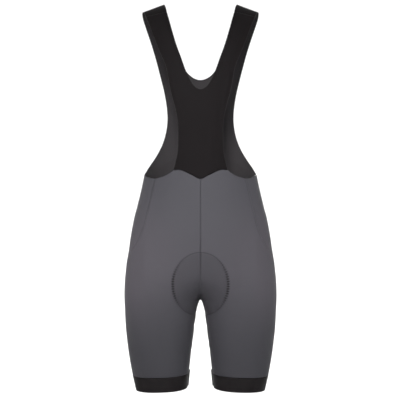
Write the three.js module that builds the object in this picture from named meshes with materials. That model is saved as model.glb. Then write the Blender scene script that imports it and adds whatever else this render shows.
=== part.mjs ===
import * as THREE from 'three';
import { mergeVertices } from 'three/addons/utils/BufferGeometryUtils.js';

// Cycling bib shorts filled out by a general figure, in millimetres, +Z up, front towards -Y, wearer's left at +X.
// The origin is midway between the places where the shoulders carry the straps.

// Thickness of each cloth, and the gap left at a sewn seam
const SHORTS_CLOTH = 1.4;
const BIB_CLOTH = 1.2;
const BAND_CLOTH = 2;
const SEAM = 0.3;

// The seat pad lies this far inside the cloth, is this thick in the middle and this thick at its edge
const PAD_CLEARANCE = 1.9;
const PAD_MIDDLE = 7;
const PAD_EDGE = 1.6;

// Roundness of every section: 2 is an ellipse, more is squarer
const SQUARENESS = 2.35;

// Sections of the trunk and the left leg. inner is where the leg's inner side lies: left of the middle while the
// legs are still one trunk, right of it below the crotch. front and back are depths from the middle.
const FIGURE = [
  { z: -150, outer: 165, inner: -165, front: 92, back: 94 },
  { z: -250, outer: 150, inner: -150, front: 97, back: 93 },
  { z: -320, outer: 136, inner: -136, front: 96, back: 87 },
  { z: -390, outer: 131.8, inner: -131.8, front: 93.5, back: 85.5 },
  { z: -414, outer: 136.3, inner: -136.3, front: 93.5, back: 88 },
  { z: -451, outer: 144.9, inner: -144.9, front: 94, back: 95 },
  { z: -489, outer: 154.9, inner: -154.9, front: 96, back: 105 },
  { z: -526, outer: 162.2, inner: -162.2, front: 98, back: 114 },
  { z: -564, outer: 168, inner: -168, front: 99, back: 119 },
  { z: -590, outer: 172.2, inner: -172.2, front: 99.2, back: 119.8 },
  { z: -602, outer: 173.7, inner: -150, front: 99, back: 120 },
  { z: -615, outer: 175.1, inner: -121, front: 98.8, back: 119.5 },
  { z: -628, outer: 176.5, inner: -90, front: 98.6, back: 118 },
  { z: -641, outer: 177.5, inner: -55, front: 98, back: 116 },
  { z: -655, outer: 178.1, inner: -29, front: 97, back: 112.8 },
  { z: -668, outer: 178.4, inner: -12, front: 95.8, back: 109.5 },
  { z: -678, outer: 178.4, inner: -2.6, front: 94.8, back: 107 },
  { z: -683, outer: 178.2, inner: 0.15, front: 94.2, back: 105.5 },
  { z: -689, outer: 178, inner: 3.4, front: 93.6, back: 104 },
  { z: -696, outer: 177.8, inner: 5.8, front: 92.8, back: 102 },
  { z: -705, outer: 177.4, inner: 8.3, front: 92, back: 100 },
  { z: -724, outer: 176.4, inner: 11.2, front: 90, back: 96.5 },
  { z: -743, outer: 175.4, inner: 13.8, front: 88, back: 93 },
  { z: -780, outer: 171.7, inner: 18.2, front: 82, back: 86 },
  { z: -818, outer: 166.6, inner: 23.3, front: 75, back: 78 },
  { z: -855, outer: 160, inner: 27.2, front: 69, back: 71 },
  { z: -893, outer: 151.3, inner: 31, front: 64, back: 66 },
];

// The cloth's way over the shoulder, seen from the side
const OVER_SHOULDER = [
  { y: -93.5, z: -414 },
  { y: -93.5, z: -390 },
  { y: -97, z: -290 },
  { y: -97, z: -205 },
  { y: -92, z: -138 },
  { y: -80, z: -82 },
  { y: -61, z: -39 },
  { y: -34, z: -11 },
  { y: 0, z: 0 },
  { y: 35, z: -11 },
  { y: 63, z: -41 },
  { y: 83, z: -88 },
  { y: 94, z: -150 },
  { y: 95, z: -215 },
  { y: 89, z: -300 },
  { y: 85.5, z: -390 },
  { y: 88, z: -414 },
];
const CREST_POINT = 8;

// The shoulders fall away outwards from this height at the neck side of the straps, and less so further down
const CREST_RISE = { x: 87, z: 7, fall: 0.36, fades: 150 };

// Edges of the bib. down is measured along the cloth from the crest of the shoulder, on the front or on the back.
const SHOULDER_SEAM = { inner: { down: 56, x: 78.5 }, outer: { down: 52, x: 126.5 } };
const STRAP_INNER = [
  { down: 0, x: 86 },
  { down: 55, x: 78.7 },
  { down: 82, x: 72.3 },
  { down: 117, x: 62.5 },
  { down: 146, x: 53.4 },
];
const FRONT_NECK = [
  { down: 175, x: 43 },
  { down: 201, x: 34 },
  { down: 224, x: 23 },
  { down: 239, x: 12 },
  { down: 244, x: 0 },
];
const BACK_NECK = [
  { down: 165, x: 44 },
  { down: 182, x: 34 },
  { down: 193, x: 22 },
  { down: 199, x: 11 },
  { down: 201, x: 0 },
];
const FRONT_OUTER = [
  { down: 92, x: 115 },
  { down: 124, x: 104 },
  { down: 154, x: 93 },
  { down: 188, x: 79 },
  { down: 210, x: 74 },
  { down: 247, x: 67 },
  { down: 278, x: 58.5 },
  { down: 311, x: 51.5 },
  { down: 345, x: 50 },
  { down: 390, x: 52 },
];
const BACK_OUTER = [
  { down: -27, x: 131.5 },
  { down: 0, x: 136 },
  { down: 40, x: 136 },
  { down: 81, x: 128 },
  { down: 141, x: 111 },
  { down: 200, x: 95.5 },
  { down: 229, x: 88.5 },
  { down: 258, x: 83 },
  { down: 285, x: 80 },
  { down: 300, x: 79.7 },
  { down: 330, x: 82.7 },
  { down: 359, x: 90.6 },
  { down: 389, x: 104.9 },
  { down: 405, x: 114.5 },
  { down: 420, x: 124 },
];

// The rows above and below these points end beside the bottom of the neckline
const FRONT_PARTED = 278;
const BACK_PARTED = 229;

// The waist of the shorts: a V in the middle of the front, the corner of the front bib, the side seam, the side
const WAIST_FRONT = [
  { x: 0, z: -403.5 },
  { x: 16, z: -396.5 },
  { x: 30, z: -389.5 },
  { x: 45, z: -383.5 },
  { x: 61, z: -382 },
  { x: 70, z: -389.5 },
  { x: 85, z: -397.5 },
  { x: 104.5, z: -401.8 },
  { x: 120, z: -399.6 },
  { x: 131.8, z: -392 },
];
const WAIST_BACK = -404;

// The side seam, as degrees forward of the side, down the leg
const SIDE_SEAM = [
  { z: -402, forward: 42 },
  { z: -441, forward: 40.5 },
  { z: -498, forward: 39 },
  { z: -545, forward: 32 },
  { z: -572, forward: 19 },
  { z: -595, forward: 5 },
  { z: -622, forward: -4 },
  { z: -680, forward: -7 },
  { z: -900, forward: -7 },
];

// The leg band: its top and bottom, and how much higher it lies on the inner side than on the outer
const BAND = { top: -857, bottom: -891.5, tilt: 2.4, proud: 0.3 };

// The stitched edge of the seat pad: half an ellipse on the front, seen from the front, and one on the back
const PAD_FRONT = { middle: -641, half: 62.5, up: 72, down: 76 };
const PAD_BACK = { middle: -638, half: 84, up: 92, down: 79 };
const PAD_RAISE = 2.5;

// A smooth curve through the named column of a table, which never overshoots its rows
function through(rows, key, column) {
  const sorted = [...rows].sort((a, b) => a[key] - b[key]);
  const k = sorted.map((row) => row[key]);
  const v = sorted.map((row) => row[column]);
  const last = k.length - 1;
  const secant = (i) => (v[i + 1] - v[i]) / (k[i + 1] - k[i]);
  const slope = v.map((_, i) => {
    if (i === 0) return secant(0);
    if (i === last) return secant(last - 1);
    const a = secant(i - 1);
    const b = secant(i);
    return a * b <= 0 ? 0 : (2 * a * b) / (a + b);
  });
  return (at) => {
    const t0 = THREE.MathUtils.clamp(at, k[0], k[last]);
    let i = 0;
    while (i < last - 1 && t0 > k[i + 1]) i += 1;
    const h = k[i + 1] - k[i];
    const t = (t0 - k[i]) / h;
    const start = (1 + 2 * t) * (1 - t) ** 2 * v[i] + t * (1 - t) ** 2 * h * slope[i];
    const end = t * t * (3 - 2 * t) * v[i + 1] + t * t * (t - 1) * h * slope[i + 1];
    return start + end;
  };
}

const outerAt = through(FIGURE, 'z', 'outer');
const innerAt = through(FIGURE, 'z', 'inner');
const frontAt = through(FIGURE, 'z', 'front');
const backAt = through(FIGURE, 'z', 'back');
const seamTurnAt = through(SIDE_SEAM, 'z', 'forward');
const waistFrontAt = through(WAIST_FRONT, 'x', 'z');

const CROTCH = -683;
const signedPower = (value, power) => Math.sign(value) * Math.abs(value) ** power;

// How far inside the pad's stitched edge a point of the front or back lies: 0 in the middle, 1 on the edge
function acrossPad(pad, x, z) {
  const upright = z > pad.middle ? pad.up : pad.down;
  return Math.hypot(x / pad.half, (z - pad.middle) / upright);
}

// A point of the trunk or leg. turn is 0 at the side, -PI at the inseam by way of the front, PI by way of the back.
function figure(turn, z) {
  const outer = outerAt(z);
  const inner = innerAt(z);
  const half = (outer - inner) / 2;
  const x = (outer + inner) / 2 + half * signedPower(Math.cos(turn), 2 / SQUARENESS);
  const front = turn < 0;
  const inside = acrossPad(front ? PAD_FRONT : PAD_BACK, x, z);
  const raised = PAD_RAISE * (1 - THREE.MathUtils.smoothstep(inside, 0.6, 1.2));
  const y = ((front ? frontAt(z) : backAt(z)) + raised) * signedPower(Math.sin(turn), 2 / SQUARENESS);
  return new THREE.Vector3(x, y, z);
}

// The turn at which a section reaches a given distance from the middle, on the front or the back
function turnAtX(x, z, side) {
  const outer = outerAt(z);
  const inner = innerAt(z);
  const across = THREE.MathUtils.clamp((x - (outer + inner) / 2) / ((outer - inner) / 2), -1, 1);
  return side * Math.acos(signedPower(across, SQUARENESS / 2));
}

// Heights that divide the middle seam from the waist to the crotch, closer towards the crotch
const CLOSER_TO_CROTCH = 1.4;

function middleHeights(waist, side, count) {
  const samples = 600;
  const heights = [];
  const lengths = [];
  let before = null;
  let length = 0;
  for (let i = 0; i <= samples; i += 1) {
    const z = CROTCH + (waist - CROTCH) * (i / samples) ** 3;
    const point = figure(turnAtX(SEAM / 2, z, side), z);
    if (before) length += point.distanceTo(before);
    before = point;
    heights.push(z);
    lengths.push(length);
  }
  const heightAt = (wanted) => {
    let i = 0;
    while (i < samples - 1 && lengths[i + 1] < wanted) i += 1;
    const t = (wanted - lengths[i]) / (lengths[i + 1] - lengths[i]);
    return THREE.MathUtils.lerp(heights[i], heights[i + 1], t);
  };
  const rows = [];
  for (let i = 0; i <= count; i += 1) {
    rows.push(heightAt(length * (1 - i / count) ** CLOSER_TO_CROTCH));
  }
  return rows;
}

const evenly = (from, to, count) => Array.from({ length: count + 1 }, (_, i) => from + ((to - from) * i) / count);

// Rows of points from fractions across and down
function grid(across, down, pointAt) {
  return down.map((_, j) => across.map((__, i) => pointAt(i, j)));
}

// Moves the points of an edge back along their rows or columns, which leaves a seam's gap
function drawBack(point, neighbour, distance) {
  const way = neighbour.at.clone().sub(point.at).normalize();
  return { ...point, at: point.at.clone().addScaledVector(way, distance) };
}

function drawBackColumn(rows, column, next, distance, applies = () => true) {
  for (const row of rows) {
    if (applies(row[column].at)) row[column] = drawBack(row[column], row[next], distance);
  }
}

function drawBackRow(rows, row, next, distance) {
  rows[row] = rows[row].map((point, i) => drawBack(point, rows[next][i], distance));
}

// A point moved into the body. On the middle of a piece it stays there, and keeps its distance from both halves.
function movedIn({ at, out, onMiddle = false }, distance) {
  if (!onMiddle) return at.clone().addScaledVector(out, -distance);
  const upright = new THREE.Vector3(0, out.y, out.z);
  const mitre = Math.min(distance / upright.length(), 3 * distance);
  return new THREE.Vector3(0, at.y, at.z).addScaledVector(upright.normalize(), -mitre);
}

// The outer surface of a piece from rows of points that run across and follow each other down the outside. Each
// point also gives its inner side. Both lie in from the figure by the distances of depthOf. Each four points are
// joined across their shorter way.
function surface(rows, depthOf, closedAcross = false) {
  const wide = rows[0].length;
  const points = rows.flat();
  const apart = (first, second) => points[first].at.distanceTo(points[second].at);
  const index = [];
  for (let j = 0; j < rows.length - 1; j += 1) {
    for (let i = 0; i < (closedAcross ? wide : wide - 1); i += 1) {
      const a = j * wide + i;
      const b = j * wide + ((i + 1) % wide);
      if (apart(a, b + wide) < apart(b, a + wide)) index.push(a, a + wide, b + wide, a, b + wide, b);
      else index.push(a, a + wide, b, b, a + wide, b + wide);
    }
  }
  const placed = (side) => points.flatMap((point) => movedIn(point, depthOf(point)[side]).toArray());
  const geometry = new THREE.BufferGeometry();
  geometry.setAttribute('position', new THREE.Float32BufferAttribute(placed('outside'), 3));
  geometry.setAttribute('inner', new THREE.Float32BufferAttribute(placed('inside'), 3));
  geometry.setIndex(index);
  return geometry;
}

const cloth = (thickness) => () => ({ outside: 0, inside: thickness });

// The same surface on the wearer's other side
function mirrored(geometry) {
  const copy = geometry.clone();
  for (const attribute of Object.values(copy.attributes)) {
    for (let i = 0; i < attribute.count; i += 1) attribute.setX(i, -attribute.getX(i));
  }
  const index = Array.from(copy.getIndex().array);
  for (let i = 0; i < index.length; i += 3) [index[i + 1], index[i + 2]] = [index[i + 2], index[i + 1]];
  copy.setIndex(index);
  return copy;
}

// Half a surface and its mirror image, made one where they meet in the middle
function bothHalves(half) {
  const other = mirrored(half);
  const count = half.getAttribute('position').count;
  const geometry = new THREE.BufferGeometry();
  for (const [name, attribute] of Object.entries(half.attributes)) {
    const values = [...attribute.array, ...other.getAttribute(name).array];
    geometry.setAttribute(name, new THREE.Float32BufferAttribute(values, 3));
  }
  geometry.setIndex([...half.getIndex().array, ...Array.from(other.getIndex().array, (i) => i + count)]);
  return mergeVertices(geometry, 1e-4);
}

// Closes the space between a surface's outer and inner points
function closed(outer) {
  const outerPositions = outer.getAttribute('position').array;
  const innerPositions = outer.getAttribute('inner').array;
  const count = outerPositions.length / 3;
  const faces = Array.from(outer.getIndex().array);
  const edges = new Set();
  for (let i = 0; i < faces.length; i += 3) {
    for (let k = 0; k < 3; k += 1) edges.add(`${faces[i + k]},${faces[i + ((k + 1) % 3)]}`);
  }
  const index = [...faces];
  for (let i = 0; i < faces.length; i += 3) {
    index.push(faces[i] + count, faces[i + 2] + count, faces[i + 1] + count);
  }
  for (const edge of edges) {
    const [p, q] = edge.split(',').map(Number);
    if (!edges.has(`${q},${p}`)) index.push(q, p, p + count, q, p + count, q + count);
  }
  const geometry = new THREE.BufferGeometry();
  geometry.setAttribute('position', new THREE.Float32BufferAttribute([...outerPositions, ...innerPositions], 3));
  geometry.setIndex(index);
  return geometry;
}

// The way out of a surface at a point, given as a function of how far across and how far down it lies
function wayOut(pointAt, across, down, stepDown) {
  const alongRow = pointAt(across + 0.002, down).sub(pointAt(across - 0.002, down));
  const alongColumn = pointAt(across, down + stepDown).sub(pointAt(across, down - stepDown));
  return alongColumn.cross(alongRow).normalize();
}

function figurePoint(turn, z) {
  return { at: figure(turn, z), out: wayOut(figure, turn, z, -0.5) };
}

// The four panels of the shorts

const ROWS_TO_CROTCH = 18;
const ROWS_BELOW = 8;
const WAIST_ROWS = 6;
const SIDE_AT_CROTCH = -690;

const bandHeight = (middle, turn) => middle - BAND.tilt * Math.cos(turn);
const SIDE_HEIGHTS = [
  ...evenly(SIDE_SEAM[0].z, SIDE_AT_CROTCH, ROWS_TO_CROTCH),
  ...evenly(SIDE_AT_CROTCH, bandHeight(BAND.top, 0), ROWS_BELOW).slice(1),
];

// One panel for the wearer's left. side is -1 for the front and 1 for the back, across holds fractions from the
// middle seam or inseam to the side seam, and waistAt gives the waist's height at a turn.
function shortsPanel(side, across, waistAt) {
  const waistMiddle = waistAt(side * Math.PI / 2);
  const inseam = evenly(CROTCH, bandHeight(BAND.top, Math.PI), ROWS_BELOW).slice(1);
  const middle = [...middleHeights(waistMiddle, side, ROWS_TO_CROTCH), ...inseam];
  const lastRow = middle.length - 1;
  const rows = grid(across, SIDE_HEIGHTS, (i, j) => {
    const eased = THREE.MathUtils.smoothstep(across[i], 0, 1);
    const level = (row) => THREE.MathUtils.lerp(middle[row], SIDE_HEIGHTS[row], eased);
    const sideTurn = -THREE.MathUtils.degToRad(seamTurnAt(SIDE_HEIGHTS[j]));
    const middleTurn = j < ROWS_TO_CROTCH ? turnAtX(SEAM / 2, middle[j], side) : side * Math.PI;
    const turn = THREE.MathUtils.lerp(middleTurn, sideTurn, across[i]);
    const nearWaist = (1 - Math.min(j / WAIST_ROWS, 1)) ** 2;
    const nearBand = Math.max((j - ROWS_TO_CROTCH) / ROWS_BELOW, 0) ** 2;
    const waistChange = (waistAt(turn) - level(0)) * nearWaist;
    const bandChange = (bandHeight(BAND.top, turn) - level(lastRow)) * nearBand;
    return figurePoint(turn, level(j) + waistChange + bandChange);
  });
  drawBackColumn(rows, 0, 1, SEAM / 2, (point) => point.z <= CROTCH + 0.01);
  drawBackColumn(rows, across.length - 1, across.length - 2, SEAM / 2);
  drawBackRow(rows, lastRow, lastRow - 1, SEAM / 2);
  if (side > 0) rows.forEach((row) => row.reverse());
  return surface(rows, cloth(SHORTS_CLOTH));
}

const SEAM_TURN = -THREE.MathUtils.degToRad(SIDE_SEAM[0].forward);
const BIB_CORNER = WAIST_FRONT[4];
const SIDE_CORNER = WAIST_FRONT[WAIST_FRONT.length - 1];

// Columns of the front panel: even steps to the corner of the front bib, then on to the side seam
const BIB_COLUMNS = 6;
const FRONT_SIDE_COLUMNS = 5;
const cornerFraction = (turnAtX(BIB_CORNER.x, BIB_CORNER.z, -1) + Math.PI / 2) / (SEAM_TURN + Math.PI / 2);
const FRONT_ACROSS = [
  ...evenly(0, cornerFraction, BIB_COLUMNS),
  ...evenly(cornerFraction, 1, FRONT_SIDE_COLUMNS).slice(1),
];

// Columns of the back panel: even steps from the middle to the side, then on to the side seam
const BACK_COLUMNS = 9;
const BACK_SIDE_COLUMNS = 3;
const sideFraction = Math.PI / 2 / (Math.PI / 2 - SEAM_TURN);
const BACK_ACROSS = [
  ...evenly(0, sideFraction, BACK_COLUMNS),
  ...evenly(sideFraction, 1, BACK_SIDE_COLUMNS).slice(1),
];

function waistHeight(turn) {
  if (turn <= 0) return waistFrontAt(figure(turn, SIDE_CORNER.z).x);
  return THREE.MathUtils.lerp(SIDE_CORNER.z, WAIST_BACK, THREE.MathUtils.smoothstep(turn, 0, 1));
}

// The bib

const PATH_STEPS = 40;
const pathPoints = OVER_SHOULDER.map(({ y, z }) => new THREE.Vector3(0, y, z));
const path = new THREE.CatmullRomCurve3(pathPoints, false, 'centripetal');
path.arcLengthDivisions = PATH_STEPS * (OVER_SHOULDER.length - 1);
const pathLengths = path.getLengths();
const pathLength = pathLengths[pathLengths.length - 1];
const crestLength = pathLengths[PATH_STEPS * CREST_POINT];

// The middle of the cloth at a distance down it from the crest, on the front (side -1) or the back (side 1)
function pathPoint(down, side) {
  return path.getPointAt(THREE.MathUtils.clamp((crestLength + side * down) / pathLength, 0, 1));
}

// A point of the bib. turn is 0 at the side of the body and a right angle in the middle.
function bib(turn, down, side) {
  const spot = pathPoint(down, side);
  const x = outerAt(spot.z) * signedPower(Math.cos(turn), 2 / SQUARENESS);
  const y = spot.y * signedPower(Math.sin(turn), 2 / SQUARENESS);
  const near = 0.5 * (1 + Math.cos(Math.PI * Math.min(Math.abs(down) / CREST_RISE.fades, 1)));
  const rise = (CREST_RISE.z - CREST_RISE.fall * (x - CREST_RISE.x)) * near;
  return new THREE.Vector3(x, y, spot.z + rise);
}

// Its way out too. Points in the middle of the body stay there.
function bibPoint(turn, down, side, onMiddle) {
  const out = wayOut((across, along) => bib(across, along, side), turn, down, 0.5).multiplyScalar(side);
  return { at: bib(turn, down, side), out, onMiddle };
}

function bibTurn({ x, down }, side) {
  return Math.acos(Math.min((x / outerAt(pathPoint(down, side).z)) ** (SQUARENESS / 2), 1));
}

// How far down the cloth a height lies, below the shoulders
function downAt(z, side) {
  let low = CREST_RISE.fades;
  let high = side < 0 ? crestLength : pathLength - crestLength;
  for (let i = 0; i < 40; i += 1) {
    const middle = (low + high) / 2;
    if (pathPoint(middle, side).z > z) low = middle;
    else high = middle;
  }
  return low;
}

// Points at even distances along an edge given by rows of down and x, as the cloth lies round the body
function alongEdge(rows, count, side) {
  const samples = 300;
  const flat = rows.map(({ down, x }) => new THREE.Vector3(x, down, 0));
  const curve = new THREE.CatmullRomCurve3(flat, false, 'centripetal');
  const edge = curve.getPoints(samples).map(({ x, y }) => ({ x: Math.max(x, 0), down: y }));
  const lengths = [0];
  for (let i = 1; i <= samples; i += 1) {
    const [before, here] = [edge[i - 1], edge[i]].map((point) => bib(bibTurn(point, side), point.down, side));
    lengths.push(lengths[i - 1] + before.distanceTo(here));
  }
  return evenly(0, lengths[samples], count).map((wanted) => {
    let i = 0;
    while (i < samples - 1 && lengths[i + 1] < wanted) i += 1;
    const t = Math.min((wanted - lengths[i]) / (lengths[i + 1] - lengths[i]), 1);
    return {
      x: THREE.MathUtils.lerp(edge[i].x, edge[i + 1].x, t),
      down: THREE.MathUtils.lerp(edge[i].down, edge[i + 1].down, t),
    };
  });
}

// Half a bib panel from its inner and outer edges, which have as many points each, and the turns of its bottom
// row at the waist. Its inner edge is the neckline down to neckRow, and the middle of the body below it.
function halfBib(side, inner, outer, bottomTurns, neckRow) {
  const across = evenly(0, 1, bottomTurns.length - 1);
  const last = inner.length - 1;
  const innerTurns = inner.map((point) => bibTurn(point, side));
  const outerTurns = outer.map((point) => bibTurn(point, side));
  const bottomDowns = bottomTurns.map((turn) => downAt(waistHeight(side * turn), side));
  const rows = grid(across, inner, (i, j) => {
    const straightDown = (row) => THREE.MathUtils.lerp(inner[row].down, outer[row].down, across[i]);
    const straightTurn = (row) => THREE.MathUtils.lerp(innerTurns[row], outerTurns[row], across[i]);
    const nearWaist = Math.max((j - neckRow) / (last - neckRow), 0) ** 2;
    const turn = straightTurn(j) + (bottomTurns[i] - straightTurn(last)) * nearWaist;
    const down = straightDown(j) + (bottomDowns[i] - straightDown(last)) * nearWaist;
    return bibPoint(turn, down, side, i === 0 && j >= neckRow);
  });
  drawBackRow(rows, 0, 1, SEAM / 2);
  drawBackRow(rows, last, last - 1, SEAM);
  if (side > 0) rows.forEach((row) => row.reverse());
  return surface(rows, cloth(BIB_CLOTH));
}

// An edge of a bib panel in two stretches, parted at a distance down
function edgeInTwo(rows, partedAt, above, below, side) {
  const upper = alongEdge(rows.filter(({ down }) => down <= partedAt), above, side);
  const lower = alongEdge(rows.filter(({ down }) => down >= partedAt), below, side);
  return [...upper, ...lower.slice(1)];
}

function frontBib() {
  const strapRows = 12;
  const bodyRows = 9;
  const corner = { down: downAt(BIB_CORNER.z, -1), x: BIB_CORNER.x };
  const middle = { down: downAt(WAIST_FRONT[0].z, -1), x: 0 };
  const strap = STRAP_INNER.filter(({ down }) => down > SHOULDER_SEAM.inner.down);
  const neck = [SHOULDER_SEAM.inner, ...strap, ...FRONT_NECK];
  const neckMiddle = FRONT_NECK[FRONT_NECK.length - 1];
  const neckline = alongEdge(neck, strapRows, -1);
  const inner = [...neckline, ...alongEdge([neckMiddle, middle], bodyRows, -1).slice(1)];
  const outer = edgeInTwo([SHOULDER_SEAM.outer, ...FRONT_OUTER, corner], FRONT_PARTED, strapRows, bodyRows, -1);
  const bottomTurns = evenly(Math.PI / 2, bibTurn(corner, -1), BIB_COLUMNS);
  return bothHalves(halfBib(-1, inner, outer, bottomTurns, strapRows));
}

function backBib() {
  const strapRows = 17;
  const bodyRows = 14;
  const toFront = ({ down, x }) => ({ down: -down, x });
  const side = { down: downAt(SIDE_CORNER.z, 1), x: SIDE_CORNER.x };
  const middle = { down: downAt(WAIST_BACK, 1), x: 0 };
  const neck = [toFront(SHOULDER_SEAM.inner), ...STRAP_INNER, ...BACK_NECK];
  const neckMiddle = BACK_NECK[BACK_NECK.length - 1];
  const neckline = alongEdge(neck, strapRows, 1);
  const inner = [...neckline, ...alongEdge([neckMiddle, middle], bodyRows, 1).slice(1)];
  const outer = edgeInTwo([toFront(SHOULDER_SEAM.outer), ...BACK_OUTER, side], BACK_PARTED, strapRows, bodyRows, 1);
  const bottomTurns = evenly(Math.PI / 2, 0, BACK_COLUMNS);
  return bothHalves(halfBib(1, inner, outer, bottomTurns, strapRows));
}

// The elastic band round the bottom of the left leg
function legBand() {
  const sides = 28;
  const around = evenly(-Math.PI, Math.PI, sides).slice(0, -1);
  const heights = [BAND.top - SEAM / 2, (BAND.top + BAND.bottom) / 2, BAND.bottom];
  const rows = heights.map((middle) => around.map((turn) => figurePoint(turn, bandHeight(middle, turn))));
  return surface(rows, () => ({ outside: -BAND.proud, inside: BAND_CLOTH - BAND.proud }), true);
}

// The left half of the seat pad: rows run from its front end under the crotch to its back end, and columns from
// the middle seam to its stitched edge
function halfPad() {
  const padColumns = 6;
  const halfRows = 10;
  const firstAngle = 0.22;
  const columns = evenly(0, 1, padColumns);
  const rowOf = (side, shape) => {
    const middle = middleHeights(shape.middle + shape.up * Math.cos(firstAngle), side, halfRows);
    return (row) => {
      const angle = THREE.MathUtils.lerp(firstAngle, Math.PI, row / halfRows);
      const upright = Math.cos(angle) > 0 ? shape.up : shape.down;
      const edgeZ = shape.middle + upright * Math.cos(angle);
      const edgeTurn = turnAtX(shape.half * Math.sin(angle), edgeZ, side);
      const middleTurn = turnAtX(SEAM / 2, middle[row], side);
      return columns.map((fraction) => {
        const turn = THREE.MathUtils.lerp(middleTurn, edgeTurn, fraction);
        const z = THREE.MathUtils.lerp(middle[row], edgeZ, fraction);
        return { ...figurePoint(turn, z), fraction, onMiddle: fraction === 0 };
      });
    };
  };
  const counts = evenly(0, halfRows, halfRows);
  const frontRows = counts.map(rowOf(-1, PAD_FRONT));
  const backRows = counts.slice(0, -1).reverse().map(rowOf(1, PAD_BACK));
  const outside = SHORTS_CLOTH + PAD_CLEARANCE;
  const thickness = (fraction) => THREE.MathUtils.lerp(PAD_MIDDLE, PAD_EDGE, fraction ** 2);
  const depths = ({ fraction }) => ({ outside, inside: outside + thickness(fraction) });
  return surface([...frontRows, ...backRows], depths);
}

// Materials

const GREY_KNIT = new THREE.MeshStandardMaterial({ color: 0x5c5b61, roughness: 0.8, metalness: 0 });
const BLACK_KNIT = new THREE.MeshStandardMaterial({ color: 0x292425, roughness: 0.85, metalness: 0 });
const BLACK_ELASTIC = new THREE.MeshStandardMaterial({ color: 0x2b2829, roughness: 0.6, metalness: 0 });
const BLACK_FOAM = new THREE.MeshStandardMaterial({ color: 0x1f1f22, roughness: 0.95, metalness: 0 });

const shorts = new THREE.Group();

function add(name, outer, material) {
  const mesh = new THREE.Mesh(closed(outer), material);
  mesh.name = name;
  shorts.add(mesh);
}

// Left and right pieces are mirror images
function addPair(name, outer, material) {
  add(`${name}_left`, outer, material);
  add(`${name}_right`, mirrored(outer), material);
}

add('bib_front', frontBib(), BLACK_KNIT);
add('bib_back', backBib(), BLACK_KNIT);
addPair('shorts_front', shortsPanel(-1, FRONT_ACROSS, waistHeight), GREY_KNIT);
addPair('shorts_back', shortsPanel(1, BACK_ACROSS, waistHeight), GREY_KNIT);
addPair('gripper', legBand(), BLACK_ELASTIC);
add('seat_pad', bothHalves(halfPad()), BLACK_FOAM);

export default shorts;
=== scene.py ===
import math
from collections import namedtuple

import bmesh
import bpy
import numpy as np
from bpy.props import FloatProperty, FloatVectorProperty, IntProperty, PointerProperty
from mathutils import Matrix, Vector
from mathutils.bvhtree import BVHTree
from mathutils.kdtree import KDTree


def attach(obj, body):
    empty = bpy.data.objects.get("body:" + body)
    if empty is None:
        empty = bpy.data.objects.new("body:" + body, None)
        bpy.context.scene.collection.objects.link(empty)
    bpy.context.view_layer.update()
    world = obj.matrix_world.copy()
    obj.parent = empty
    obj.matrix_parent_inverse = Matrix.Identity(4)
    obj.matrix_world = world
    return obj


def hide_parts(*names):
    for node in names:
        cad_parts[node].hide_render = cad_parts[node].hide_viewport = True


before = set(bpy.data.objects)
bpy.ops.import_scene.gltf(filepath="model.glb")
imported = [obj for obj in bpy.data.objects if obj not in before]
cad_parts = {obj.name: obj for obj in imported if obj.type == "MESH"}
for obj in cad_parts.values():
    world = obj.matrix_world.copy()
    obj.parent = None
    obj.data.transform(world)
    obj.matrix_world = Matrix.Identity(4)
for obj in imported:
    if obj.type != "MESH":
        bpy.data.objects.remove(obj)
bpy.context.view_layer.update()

bl_info = {
    "name": "Cycling Bib Shorts",
    "version": (1, 0, 0),
    "blender": (4, 5, 0),
    "location": "View3D > Sidebar > Bib Shorts",
    "description": "Knitted cloth, flat seams, elastic leg bands and a seat pad for the bib shorts",
    "category": "Mesh",
}

MM = 0.001

# Reading the solids: a fold this sharp parts two walls, points this near are one, and no wall is thicker
SHARP_FOLD = math.radians(70)
SAME_POINT = 0.01 * MM
THICKEST_WALL = 2.4 * MM

# Panels this near each other are sewn together. The two parts of the bib lie farther apart at the shoulders.
SEWN_GAP = 0.7 * MM
SHOULDER_GAP = 1.3 * MM

# How far from a seam the cloth feels it, what is added for the flatter side seams, and the grooves' widths
SEAM_REACH = 12 * MM
SIDE_SEAM_FLATTER = 0.8 * MM
SEAM_GROOVE_WIDTH = 1.5 * MM
PAD_GROOVE_WIDTH = 2.6 * MM

# Levels in metres from the crest of the shoulders
STRAP_BEND = -0.15
WAIST = -0.4
BAND_TOP = -0.857
BAND_MIDDLE = -0.875

PANELS = (
    "bib_front",
    "bib_back",
    "shorts_front_left",
    "shorts_front_right",
    "shorts_back_left",
    "shorts_back_right",
)
BIB = PANELS[:2]
SHORTS = PANELS[2:]
SIDE_SEAMS = (
    ("shorts_back_left", "shorts_front_left"),
    ("shorts_back_right", "shorts_front_right"),
)
BANDS = ("gripper_left", "gripper_right")

# Flat sizes of the cut pieces as the worn cloth fills them, in metres, and the area inside each rectangle
Cut = namedtuple("Cut", "width length area")

# The stitched edge of the seat pad in millimetres: half an ellipse on the front and one on the back
PadEdge = namedtuple("PadEdge", "middle half up down")
PAD_EDGES = {"front": PadEdge(-641, 62.5, 72, 76), "back": PadEdge(-638, 84, 92, 79)}

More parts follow.
